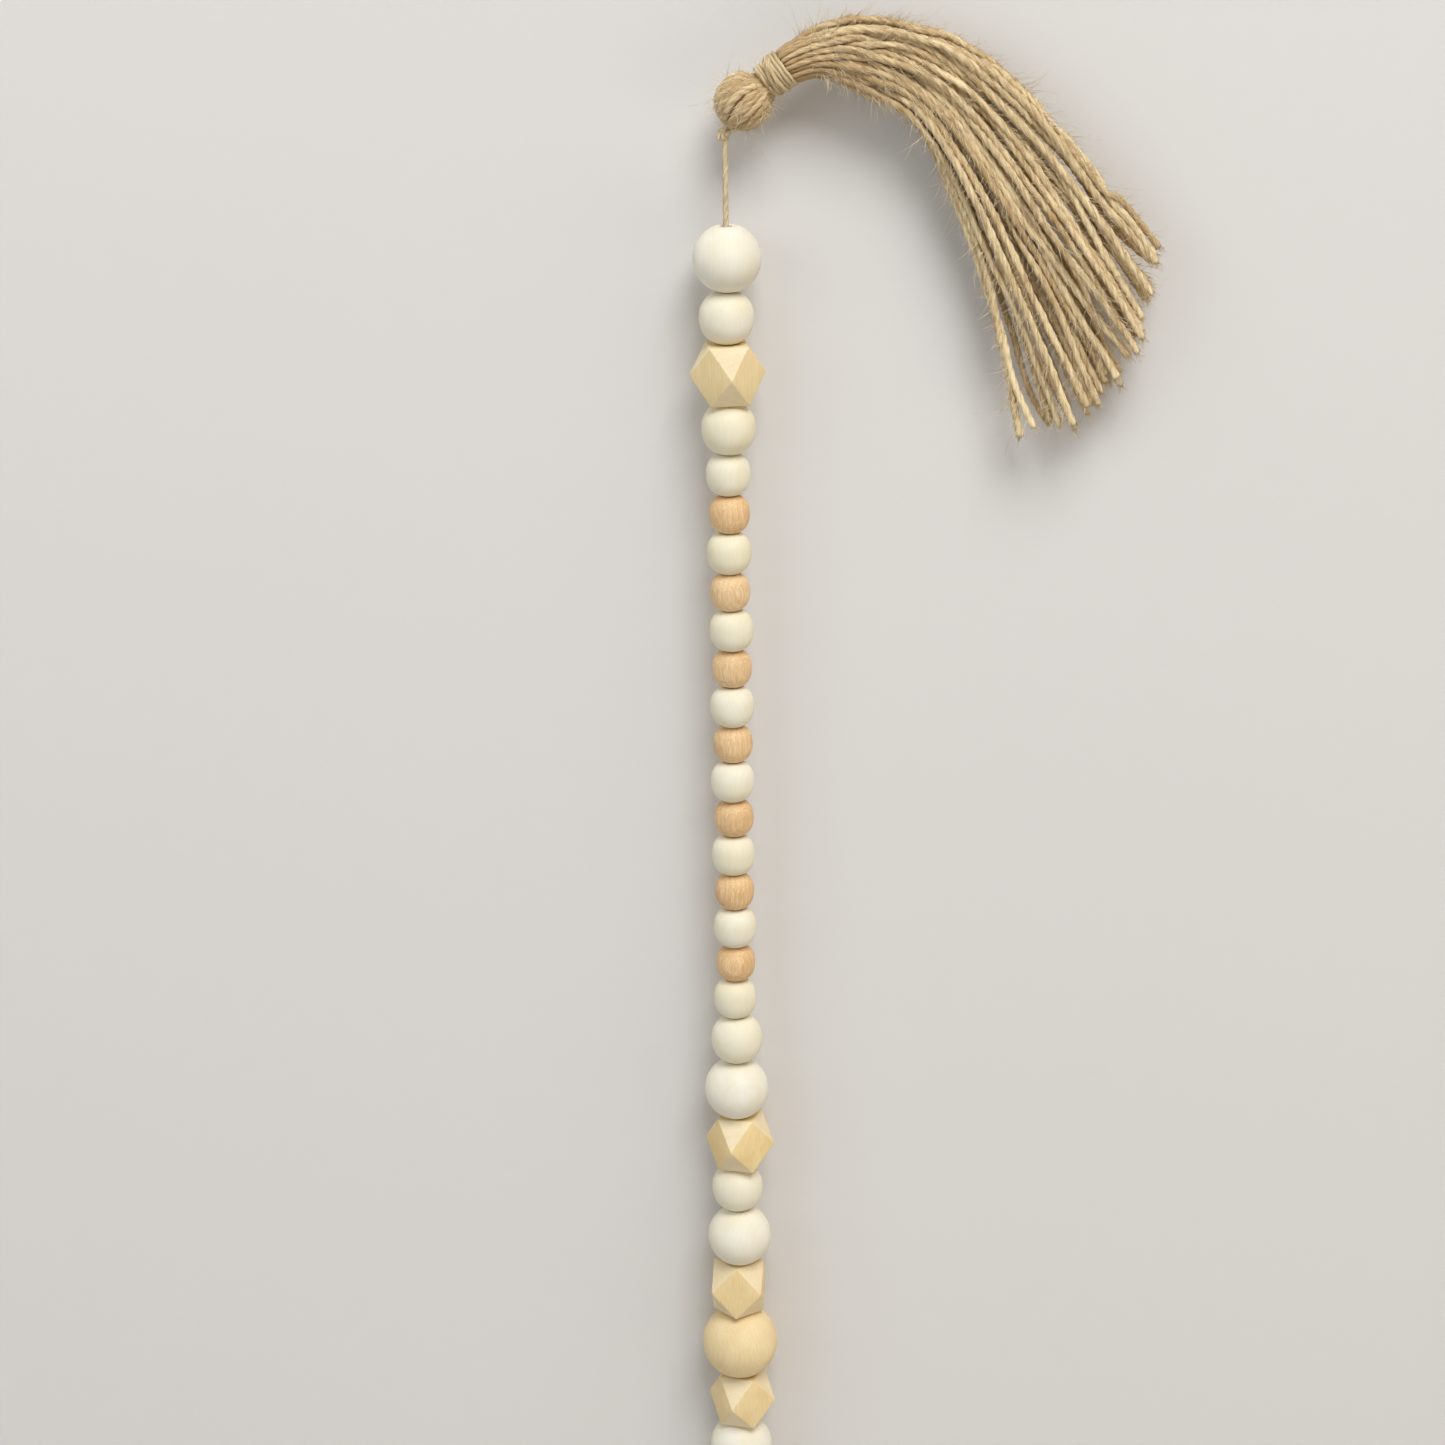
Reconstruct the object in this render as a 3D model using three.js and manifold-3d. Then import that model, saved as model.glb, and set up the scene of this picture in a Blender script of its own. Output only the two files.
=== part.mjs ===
// A hanging garland of wooden beads strung on one jute cord, with a jute tassel knotted on at each end.
// Millimetres, +Z up. The origin is the middle of the upper tassel's binding, which a nail or hook carries.
// The upper tassel flops over to +X beside the string, and the string hangs plumb below its knot.
import * as THREE from 'three';
import { ConvexGeometry } from 'three/addons/geometries/ConvexGeometry.js';
import { mergeVertices } from 'three/addons/utils/BufferGeometryUtils.js';
import Module from 'manifold-3d';

const wasm = await Module();
wasm.setup();

// ---- Driving dimensions ----
const gap = 0.3;                  // clearance between pieces that touch
const cord_diameter = 2.4;
const bore_diameter = 4.4;
const bead_length_share = 0.955;  // length along the bore over the diameter, as the ends are faced flat
const large_diameter = 25;
const medium_diameter = 20;
const small_diameter = 16.5;
const tan_diameter = 15;
const centre_diameter = 30.2;
const ball = 2;                    // shape of a bead's side: 2 is a true ball, and more has squarer shoulders
const soft_barrel = 2.2;
const barrel = 2.4;
const geometric_width = 20;       // the cube that the geometric bead is cut from, across its flats
const geometric_length = 22;      // the geometric bead along its bore

const string_offset = 18;         // the string hangs this far to -X of the origin
const bare_cord = 30.2;           // cord between the upper knot and the first bead
const knot_diameter = 5.2;

const head_diameter = 21;
const binding_length = 11;
const binding_diameter = 13.4;
const binding_wall = 1.6;         // one layer of wrapping
const tassel_lean = 33;           // degrees that the upper tassel's neck leans up from +X
const skirt_neck_width = 12.8;
const skirt_end_depth = 22;       // through the fan of the upper tassel, towards the wall
const skirt_end_bulge = 19;       // how far the fan's middle strands reach past the ones on its edges
const hanging_skirt_length = 163;
const hanging_skirt_diameter = 32;

// The upper tassel's skirt in the XZ plane, from the end of the binding to the strand ends: the strands
// along its outer edge and the ones along its inner edge, as [X, Z] from the middle of the binding's end.
const outer_edge = [[12, 15], [30, 17.5], [56, 11.5], [80, -5], [104, -30], [133, -63]];
const inner_edge = [[14, -5], [31, -12], [45, -23], [57, -49], [70, -85], [85, -136]];

// ---- Colours ----
const finish = (color, roughness) => new THREE.MeshStandardMaterial({ color, roughness, metalness: 0 });
const cream_wood = finish(0xe9e1c9, 0.6);
const tan_wood = finish(0xd9ae86, 0.55);
const natural_wood = finish(0xe6cd9d, 0.55);
const jute = finish(0xb4945f, 0.95);

// ---- Places that follow from the sizes ----
const lean = THREE.MathUtils.degToRad(tassel_lean);
const core_radius = binding_diameter / 2 - binding_wall;

// From a head's middle to its binding's middle: the wraps start where the ball has narrowed.
const ball_to_wraps = Math.sqrt((head_diameter / 2) ** 2 - core_radius ** 2);
const binding_centre = ball_to_wraps + gap + binding_length / 2;

// The upper knot is drawn up against the lower side of the upper head, above the plumb string.
const upper_head_x = -binding_centre * Math.cos(lean);
const upper_head_z = -binding_centre * Math.sin(lean);
const head_to_knot = (head_diameter + knot_diameter) / 2 + gap;
const knot_z = upper_head_z - Math.sqrt(head_to_knot ** 2 - (string_offset + upper_head_x) ** 2);

const garland = new THREE.Group();

function place(name, geometry, material, x = 0, z = 0) {
  const mesh = new THREE.Mesh(geometry, material);
  mesh.name = name;
  mesh.position.set(x, 0, z);
  garland.add(mesh);
  return mesh;
}

// ---- Beads: turned spheres with a bore along Z and flat ends ----

const bore_sides = 12;

function turnedBead(diameter, length, shape, sides, steps) {
  const radius = diameter / 2;
  const end_angle = Math.asin((length / diameter) ** (shape / 2));
  const bore_radius = bore_diameter / 2;
  const profile = [new THREE.Vector2(bore_radius, -length / 2)];
  for (let i = 0; i <= steps; i++) {
    const angle = -end_angle + (2 * end_angle * i) / steps;
    const across = Math.cos(angle) ** (2 / shape);
    const along = Math.sign(angle) * Math.abs(Math.sin(angle)) ** (2 / shape);
    profile.push(new THREE.Vector2(radius * across, radius * along));
  }
  profile.push(new THREE.Vector2(bore_radius, length / 2));
  profile.push(profile[0].clone());
  return new THREE.LatheGeometry(profile, sides).rotateX(Math.PI / 2);
}

// ---- Geometric beads: a block with its eight corners cut off to the middles of its edges ----

function toManifold(geometry) {
  const plain = geometry.clone();
  plain.deleteAttribute('normal');
  plain.deleteAttribute('uv');
  const welded = mergeVertices(plain);
  return new wasm.Manifold(new wasm.Mesh({
    numProp: 3,
    vertProperties: new Float32Array(welded.attributes.position.array),
    triVerts: new Uint32Array(welded.index.array),
  }));
}

function toGeometry(solid) {
  const mesh = solid.getMesh();
  const geometry = new THREE.BufferGeometry();
  geometry.setAttribute('position', new THREE.BufferAttribute(mesh.vertProperties, mesh.numProp));
  geometry.setIndex(new THREE.BufferAttribute(mesh.triVerts, 1));
  geometry.computeVertexNormals();
  return geometry;
}

function geometricBead(width, length) {
  const half = width / 2;
  const rise = length / 2;
  const corners = [];
  for (const a of [-1, 1]) {
    for (const b of [-1, 1]) {
      corners.push(new THREE.Vector3(a * half, b * half, 0));
      corners.push(new THREE.Vector3(a * half, 0, b * rise));
      corners.push(new THREE.Vector3(0, a * half, b * rise));
    }
  }
  const block = toManifold(new ConvexGeometry(corners));
  const drill = new THREE.CylinderGeometry(bore_diameter / 2, bore_diameter / 2, length + 2, bore_sides);
  return toGeometry(block.subtract(toManifold(drill.rotateX(Math.PI / 2))));
}

// Each kind of bead: its pitch along the cord, its material and its shape with the touching gap taken off.
function turnedKind(diameter, shape, material, sides, steps) {
  const pitch = diameter * bead_length_share;
  return { pitch, material, geometry: turnedBead(diameter, pitch - gap, shape, sides, steps) };
}
const kinds = {
  large: turnedKind(large_diameter, ball, cream_wood, 16, 8),
  medium: turnedKind(medium_diameter, soft_barrel, cream_wood, 14, 7),
  small: turnedKind(small_diameter, barrel, cream_wood, bore_sides, 6),
  tan: turnedKind(tan_diameter, barrel, tan_wood, bore_sides, 6),
  centre: turnedKind(centre_diameter, ball, natural_wood, 18, 9),
  geometric: {
    pitch: geometric_length,
    material: natural_wood,
    geometry: geometricBead(geometric_width, geometric_length - gap),
  },
};

// One half of the string from the tassel to the centre bead; the other half mirrors it.
const half_string = ['large', 'medium', 'geometric', 'medium'];
for (let pair = 0; pair < 7; pair++) half_string.push('small', 'tan');
half_string.push('small', 'medium', 'large', 'geometric', 'medium', 'large', 'geometric');
const string_of_beads = [...half_string, 'centre', ...half_string.toReversed()];

// How far each geometric bead has turned on the cord, in degrees, from the top bead down.
const geometric_turns = [51, 29, 0, 28, 12, 37];

const first_bead_z = knot_z - knot_diameter / 2 - bare_cord;
let z = first_bead_z;
let geometric_count = 0;
string_of_beads.forEach((name, index) => {
  const kind = kinds[name];
  const label = `bead_${String(index + 1).padStart(2, '0')}_${name}`;
  const bead = place(label, kind.geometry, kind.material, -string_offset, z - kind.pitch / 2);
  if (name === 'geometric') {
    bead.rotation.z = THREE.MathUtils.degToRad(geometric_turns[geometric_count++]);
  }
  z -= kind.pitch;
});
const last_bead_z = z;

// ---- Knots and the stringing cord ----

const knot = new THREE.SphereGeometry(knot_diameter / 2, 12, 8).rotateX(Math.PI / 2);
const lower_knot_z = last_bead_z - gap - knot_diameter / 2;
place('upper_knot', knot, jute, -string_offset, knot_z);
place('lower_knot', knot, jute, -string_offset, lower_knot_z);

const cord_top = knot_z - knot_diameter / 2 - gap;
const cord_bottom = lower_knot_z + knot_diameter / 2 + gap;
const cord_radius = cord_diameter / 2;
const cord = new THREE.CylinderGeometry(cord_radius, cord_radius, cord_top - cord_bottom, 8);
place('stringing_cord', cord.rotateX(Math.PI / 2), jute, -string_offset, (cord_top + cord_bottom) / 2);

// ---- Tassels: a head of folded strands, a wrapped binding round its neck and a skirt of loose strands ----

// The head points its neck along +Z: a ball that narrows to a plug inside the upper half of the binding.
function tasselHead() {
  const radius = head_diameter / 2;
  const neck_radius = core_radius - gap;
  const neck_angle = Math.acos(neck_radius / radius);
  const profile = [];
  const steps = 9;
  for (let i = 0; i <= steps; i++) {
    const angle = -Math.PI / 2 + ((neck_angle + Math.PI / 2) * i) / steps;
    profile.push(new THREE.Vector2(radius * Math.cos(angle), radius * Math.sin(angle)));
  }
  profile[0].x = 0;
  profile.push(new THREE.Vector2(neck_radius, binding_centre - gap / 2));
  profile.push(new THREE.Vector2(0, binding_centre - gap / 2));
  return new THREE.LatheGeometry(profile, 16).rotateX(Math.PI / 2);
}

// The binding is a ring whose outer side bulges, since the middle wraps ride up on the outer ones.
function tasselBinding() {
  const outer = binding_diameter / 2;
  const half = binding_length / 2;
  const edge = outer - binding_wall / 2;
  const profile = [[core_radius, -half], [edge, -half], [outer, -half / 2], [outer, half / 2], [edge, half],
    [core_radius, half], [core_radius, -half]];
  return new THREE.LatheGeometry(profile.map(([x, y]) => new THREE.Vector2(x, y)), 16).rotateX(Math.PI / 2);
}

const head = tasselHead();
const binding = tasselBinding();
const neck_turn = Math.PI / 2 - lean;

place('upper_tassel_head', head, jute, upper_head_x, upper_head_z).rotation.y = neck_turn;
place('upper_tassel_binding', binding, jute).rotation.y = neck_turn;

// The flopped skirt: a plug inside the binding, then a fan that bends over in the XZ plane.
// It is a round bar whose rings are moved to their stations: two on the plug, the rest along the fan.
const depth = new THREE.Vector3(0, 1, 0);
const neck_way = new THREE.Vector3(Math.cos(lean), 0, Math.sin(lean));
const neck_side = new THREE.Vector3().crossVectors(neck_way, depth);
const collar = neck_way.clone().multiplyScalar(binding_length / 2 + gap);

function skirtEdge(side, points) {
  const start = collar.clone().addScaledVector(neck_side, (side * skirt_neck_width) / 2);
  return new THREE.CatmullRomCurve3(
    [start, ...points.map(([x, y]) => new THREE.Vector3(x, 0, y).add(collar))]);
}
const outer = skirtEdge(1, outer_edge);
const inner = skirtEdge(-1, inner_edge);
const skirt_stations = 14;
const edge_ends = [outer, inner].map((edge) => edge.getTangentAt(1));
const end_way = edge_ends[0].clone().add(edge_ends[1]).normalize();

function skirtStation(ring) {
  if (ring < 2) {
    const centre = neck_way.clone().multiplyScalar(ring === 0 ? gap / 2 : binding_length / 2 + gap);
    return {
      centre, reach: neck_side.clone().multiplyScalar(core_radius - gap), half_depth: core_radius - gap, bulge: 0,
    };
  }
  const along = (ring - 2) / skirt_stations;
  const outer_point = outer.getPointAt(along);
  const inner_point = inner.getPointAt(along);
  return {
    centre: outer_point.clone().add(inner_point).multiplyScalar(0.5),
    reach: outer_point.clone().sub(inner_point).multiplyScalar(0.5),
    half_depth: (skirt_neck_width + (skirt_end_depth - skirt_neck_width) * along ** 0.6) / 2,
    bulge: skirt_end_bulge * along ** 4,
  };
}

const rings = skirt_stations + 2;
const fan = new THREE.CylinderGeometry(1, 1, 1, 16, rings);
const fan_points = fan.attributes.position;
for (let i = 0; i < fan_points.count; i++) {
  const station = skirtStation(Math.round((fan_points.getY(i) + 0.5) * rings));
  const point = station.centre.clone();
  point.addScaledVector(station.reach, fan_points.getX(i));
  point.addScaledVector(depth, fan_points.getZ(i) * station.half_depth);
  point.addScaledVector(end_way, station.bulge * (1 - fan_points.getX(i) ** 2));
  fan_points.setXYZ(i, point.x, point.y, point.z);
}
fan.computeVertexNormals();
place('upper_tassel_skirt', fan, jute);

// The lower tassel hangs straight down from its own knot.
const lower_head_z = lower_knot_z - knot_diameter / 2 - gap - head_diameter / 2;
const lower_binding_z = lower_head_z - binding_centre;
place('lower_tassel_head', head, jute, -string_offset, lower_head_z).rotation.y = Math.PI;
place('lower_tassel_binding', binding, jute, -string_offset, lower_binding_z);

const skirt_top = lower_binding_z - gap / 2;
const wraps_end = lower_binding_z - binding_length / 2 - gap;
const hanging_profile = [
  [0, wraps_end - hanging_skirt_length],
  [hanging_skirt_diameter * 0.47, wraps_end - hanging_skirt_length],
  [hanging_skirt_diameter * 0.5, wraps_end - hanging_skirt_length * 0.85],
  [hanging_skirt_diameter * 0.44, wraps_end - hanging_skirt_length * 0.5],
  [hanging_skirt_diameter * 0.34, wraps_end - hanging_skirt_length * 0.2],
  [skirt_neck_width / 2, wraps_end],
  [core_radius - gap, wraps_end],
  [core_radius - gap, skirt_top],
  [0, skirt_top],
];
const hanging_skirt = new THREE.LatheGeometry(
  hanging_profile.map(([x, y]) => new THREE.Vector2(x, y)), 16).rotateX(Math.PI / 2);
place('lower_tassel_skirt', hanging_skirt, jute, -string_offset);

export default garland;
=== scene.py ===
import math

import bmesh
import bpy
import numpy as np
from mathutils import Matrix, Vector


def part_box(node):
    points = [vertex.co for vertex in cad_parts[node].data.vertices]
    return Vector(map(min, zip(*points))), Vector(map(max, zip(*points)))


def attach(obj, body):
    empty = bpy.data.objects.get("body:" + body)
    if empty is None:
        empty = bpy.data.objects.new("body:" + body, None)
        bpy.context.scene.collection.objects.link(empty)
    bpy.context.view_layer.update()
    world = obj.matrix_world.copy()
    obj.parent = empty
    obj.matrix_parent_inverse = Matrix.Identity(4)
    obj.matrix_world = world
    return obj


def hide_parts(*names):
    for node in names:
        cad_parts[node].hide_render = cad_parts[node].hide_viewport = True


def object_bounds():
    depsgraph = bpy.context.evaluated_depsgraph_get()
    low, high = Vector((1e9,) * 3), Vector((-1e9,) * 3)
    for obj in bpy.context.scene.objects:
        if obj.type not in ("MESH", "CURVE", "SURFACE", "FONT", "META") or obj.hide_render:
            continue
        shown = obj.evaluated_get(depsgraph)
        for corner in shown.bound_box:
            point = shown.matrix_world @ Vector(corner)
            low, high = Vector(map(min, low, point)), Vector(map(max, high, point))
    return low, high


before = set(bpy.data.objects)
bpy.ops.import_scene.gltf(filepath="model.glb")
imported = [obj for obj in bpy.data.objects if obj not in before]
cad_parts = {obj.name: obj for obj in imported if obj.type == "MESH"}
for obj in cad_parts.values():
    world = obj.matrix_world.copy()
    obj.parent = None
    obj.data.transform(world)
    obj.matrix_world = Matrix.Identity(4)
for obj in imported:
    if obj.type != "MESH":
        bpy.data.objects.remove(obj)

cad_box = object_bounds()
bpy.context.scene.view_settings.view_transform = "Standard"

# ---- The camera ----
# It stands in front of the wall, a little above the upper half of the garland, and looks down at it.
camera = bpy.data.objects.new("camera", bpy.data.cameras.new("camera"))
bpy.context.scene.collection.objects.link(camera)
bpy.context.scene.camera = camera
camera.data.sensor_width = 36
camera.data.lens = 78.7
camera_place = (-0.0217, -1.128, 0.154)
camera_tilt = math.radians(90 - 19.35)
camera_roll = math.radians(-0.8)
camera.matrix_world = (
    Matrix.Translation(camera_place)
    @ Matrix.Rotation(camera_tilt, 4, "X")
    @ Matrix.Rotation(camera_roll, 4, "Z")
)

# ---- The stringing cord ----
# One jute cord of two thin plies runs from the upper knot through every bead to the lower knot. Most of it is
# hidden in the bores, and the slack shows as a bare length above the first bead.
mm = 0.001
rng = np.random.default_rng(7)
groove_depth = 0.22
serial_shift = 0.37  # how far apart two strands start in the fibre pattern, so that no two look the same


def distance_along(route):
    return np.concatenate([[0], np.cumsum(np.linalg.norm(np.diff(route, axis=0), axis=1))])


def thick_and_thin(stations, share):
    """A random gentle change of thickness along a strand, as spun yarn has."""
    out = np.ones(len(stations))
    for wavelength in (24 * mm, 11 * mm, 5 * mm):
        out += share * np.sin(2 * np.pi * (stations / (wavelength * rng.uniform(0.8, 1.2)) + rng.random()))
    return out


def twine(route, radius, plies=3, pitch=14 * mm, step=1.0 * mm, uneven=0.04, serial=0):
    """Plied twine along a dense route: its points, faces and lay, or where each point sits in the twine."""
    route = np.asarray(route, float)
    along = distance_along(route)
    count = max(int(along[-1] / step), 3) + 1
    stations = np.linspace(0, along[-1], count)
    centres = np.stack([np.interp(stations, along, route[:, k]) for k in range(3)], 1)
    radii = np.interp(stations, along, np.broadcast_to(radius, len(route))) * thick_and_thin(stations, uneven)
    tangents = np.gradient(centres, axis=0)
    tangents /= np.linalg.norm(tangents, axis=1)[:, None]
    side = np.cross(tangents[0], [0.31, 0.95, 0.11])
    sides = np.empty_like(centres)
    for i, tangent in enumerate(tangents):
        side = side - tangent * side.dot(tangent)
        side /= np.linalg.norm(side)
        sides[i] = side
    others = np.cross(tangents, sides)
    corners = 4 * plies
    angle = 2 * np.pi * np.arange(corners) / corners
    groove = 1 - groove_depth * np.abs(np.sin(plies * angle / 2)) ** 3
    spin = 2 * np.pi * (stations[:, None] / pitch + rng.random()) + angle[None, :]
    reach = radii[:, None] * groove[None, :]
    points = centres[:, None] + reach[..., None] * (
        np.cos(spin)[..., None] * sides[:, None] + np.sin(spin)[..., None] * others[:, None])
    fibre_turn = (spin + angle[None, :]) / 2
    lay = np.stack([
        reach * np.cos(fibre_turn), reach * np.sin(fibre_turn),
        np.broadcast_to(stations[:, None] + serial_shift * serial, reach.shape)], -1)
    ring = np.arange(count - 1)[:, None] * corners
    corner = np.arange(corners)[None, :]
    after = (corner + 1) % corners
    faces = np.stack([ring + corner, ring + after, ring + corners + after, ring + corners + corner], -1)
    faces = [list(face) for face in faces.reshape(-1, 4)]
    faces.append(list(range(corners - 1, -1, -1)))
    faces.append([(count - 1) * corners + k for k in range(corners)])
    return points.reshape(-1, 3), faces, lay.reshape(-1, 3)


def spun_piece(name, strands, material):
    """One mesh object of many strands, each given as its points, faces and lay."""
    points, faces, lays, first = [], [], [], 0
    for strand_points, strand_faces, strand_lay in strands:
        points.append(strand_points)
        lays.append(strand_lay)
        faces.extend([[first + k for k in face] for face in strand_faces])
        first += len(strand_points)
    mesh = bpy.data.meshes.new(name)
    mesh.from_pydata(np.concatenate(points).tolist(), [], faces)
    lay = mesh.attributes.new("lay", "FLOAT_VECTOR", "POINT")
    lay.data.foreach_set("vector", np.concatenate(lays).astype(np.float32).ravel())
    mesh.polygons.foreach_set("use_smooth", [True] * len(mesh.polygons))
    mesh.materials.append(material)
    mesh.update()
    piece = bpy.data.objects.new(name, mesh)
    bpy.context.scene.collection.objects.link(piece)
    return piece


def add_node(material, kind, **settings):
    """A shader node with its settings: words that name an input set that input, the rest set the node."""
    node = material.node_tree.nodes.new(kind)
    for name, value in settings.items():
        socket = node.inputs.get(name.replace("_", " "))
        if socket:
            socket.default_value = value
        else:
            setattr(node, name, value)
    return node


def weighed_sum(material, terms, start):
    """Adds up sockets times their weights."""
    links = material.node_tree.links
    total = None
    for socket, weight in terms:
        step = add_node(material, "ShaderNodeMath", operation="MULTIPLY_ADD")
        links.new(socket, step.inputs[0])
        step.inputs[1].default_value = weight
        if total is None:
            step.inputs[2].default_value = start
        else:
            links.new(total, step.inputs[2])
        total = step.outputs[0]
    return total


def jute(name, pale, dark, twine_radius):
    """Plied jute: fine fibres along the strand and patches, with painted shade in the grooves between the
    plies and where the strands are held close together.
    """
    material = bpy.data.materials.new(name)
    material.use_nodes = True
    links = material.node_tree.links
    shader = material.node_tree.nodes["Principled BSDF"]
    shader.inputs["Roughness"].default_value = 0.88
    shader.inputs["Specular IOR Level"].default_value = 0.3
    shader.inputs["Sheen Weight"].default_value = 0.2
    shader.inputs["Sheen Roughness"].default_value = 0.45
    lay = add_node(material, "ShaderNodeAttribute", attribute_name="lay")
    noises = []
    # Single fibres, tufts of them, and each strand's own shade.
    for across, lengthways, detail in ((2600, 200, 4), (500, 60, 2), (3, 3, 0)):
        stretch = add_node(material, "ShaderNodeMapping")
        stretch.inputs["Scale"].default_value = (across, across, lengthways)
        noise = add_node(material, "ShaderNodeTexNoise", Scale=1, Detail=detail, Roughness=0.6)
        links.new(lay.outputs["Vector"], stretch.inputs["Vector"])
        links.new(stretch.outputs[0], noise.inputs["Vector"])
        noises.append(noise.outputs["Fac"])
    fibres, tufts, shade = noises
    # Painted shade in the grooves between the plies: the colour is lighter out on the ridges and darker down
    # in the grooves.
    flat = add_node(material, "ShaderNodeVectorMath", operation="MULTIPLY")
    flat.inputs[1].default_value = (1, 1, 0)
    reach = add_node(material, "ShaderNodeVectorMath", operation="LENGTH")
    groove_shade = add_node(
        material, "ShaderNodeMapRange", From_Min=0.72 * twine_radius, From_Max=0.98 * twine_radius)
    links.new(lay.outputs["Vector"], flat.inputs[0])
    links.new(flat.outputs[0], reach.inputs[0])
    links.new(reach.outputs["Value"], groove_shade.inputs["Value"])
    # Painted shade: the strands are darker where the binding holds them close together, fading away from
    # there.
    held_shade = add_node(material, "ShaderNodeAttribute", attribute_name="held_shade")
    tone = weighed_sum(material, [
        (fibres, 2.6), (tufts, 1.7), (shade, 1.9), (groove_shade.outputs["Result"], 0.3),
        (held_shade.outputs["Fac"], -0.6)], -2.77)
    ramp = add_node(material, "ShaderNodeValToRGB")
    ramp.color_ramp.elements[0].color = (*dark, 1)
    ramp.color_ramp.elements[1].color = (*pale, 1)
    bump = add_node(material, "ShaderNodeBump", Strength=0.8, Distance=0.35 * mm)
    links.new(tone, ramp.inputs["Fac"])
    links.new(ramp.outputs["Color"], shader.inputs["Base Color"])
    links.new(fibres, bump.inputs["Height"])
    links.new(bump.outputs["Normal"], shader.inputs["Normal"])
    return material


cord_radius = 1.2 * mm
cord_jute = jute("pale_jute_cord", (0.92, 0.78, 0.54), (0.58, 0.44, 0.25), cord_radius)


def node_middle(node):
    low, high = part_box(node)
    return (low + high) / 2


cord_top, cord_foot = node_middle("upper_knot"), node_middle("lower_knot")
route_legs = 38
cord_route = [cord_top.lerp(cord_foot, k / route_legs) for k in range(route_legs + 1)]
stringing_cord = spun_piece(
    "jute_stringing_cord", [twine(cord_route, cord_radius, plies=2, pitch=8 * mm)], cord_jute)
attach(stringing_cord, "stringing_cord")
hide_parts("stringing_cord")

# ---- The knots ----
# The cord is passed through the folds at the far end of each tassel's head and tied there in an overhand
# knot, with its cut tail beside it. The lower knot also holds the whole stack of beads.


def smooth_route(points, count):
    """A smooth curve through a few points, as a dense list."""
    points = np.asarray(points, float)
    ends = np.vstack([2 * points[0] - points[1], points, 2 * points[-1] - points[-2]])
    out = []
    for k in range(len(points) - 1):
        a, b, c, d = ends[k:k + 4]
        t = np.linspace(0, 1, count // (len(points) - 1) + 1)[:-1, None]
        out.append(0.5 * (2 * b + (c - a) * t + (2 * a - 5 * b + 4 * c - d) * t ** 2
                          + (3 * b - a - 3 * c + d) * t ** 3))
    return np.vstack(out + [points[-1:]])


def tied_knot(name, node, tail_side):
    """An overhand knot that fills its node's box, with one cut tail."""
    low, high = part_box(node)
    middle = np.array((low + high) / 2)
    knot_radius = (high.z - low.z) / 2
    opening = 0.12
    turn = np.linspace(opening, 2 * np.pi - opening, 60)
    loop = knot_radius * np.stack([
        0.22 * (np.sin(turn) + 2 * np.sin(2 * turn)),
        -0.38 * np.sin(3 * turn),
        0.24 * (np.cos(turn) - 2 * np.cos(2 * turn))], 1)
    tail = np.array([(0, 0, 0), (1.5, -1.0, 0.4), (2.2, -1.6, -0.6), (2.3, -1.9, -2.2)]) * mm
    tail[:, 0] *= tail_side
    strands = [
        twine(middle + loop, 0.85 * cord_radius, plies=2, pitch=6 * mm, step=0.5 * mm),
        twine(
            middle + smooth_route(tail, 18), 0.6 * cord_radius,
            plies=2, pitch=6 * mm, step=0.5 * mm, serial=1),
    ]
    knot = spun_piece(name, strands, cord_jute)
    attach(knot, node)
    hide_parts(node)


tied_knot("overhand_knot_upper", "upper_knot", -1)
tied_knot("overhand_knot_lower", "lower_knot", 1)

# ---- The turned beads ----
# Each is turned from close-grained wood to a ball, or nearly a barrel for the smaller ones, with its two ends
# faced flat round the drilled bore and every edge sanded round. The large, medium and small ones carry a thin
# cream stain, the tan ones are bare beech, and the big centre one is bare pale wood.
bore_radius = 2.2 * mm
rim_round = 0.3 * mm
same_place = 0.01 * mm


def deselect_all():
    if bpy.context.object and bpy.context.object.mode != "OBJECT":
        bpy.ops.object.mode_set(mode="OBJECT")
    bpy.ops.object.select_all(action="DESELECT")


def select_in(mesh, mode, test):
    """Selects the faces or edges that pass, in edit mode, and nothing else."""
    bpy.ops.mesh.select_mode(type=mode)
    bpy.ops.mesh.select_all(action="DESELECT")
    shape = bmesh.from_edit_mesh(mesh)
    for element in shape.faces if mode == "FACE" else shape.edges:
        element.select_set(test(element))
    bmesh.update_edit_mesh(mesh)


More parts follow.
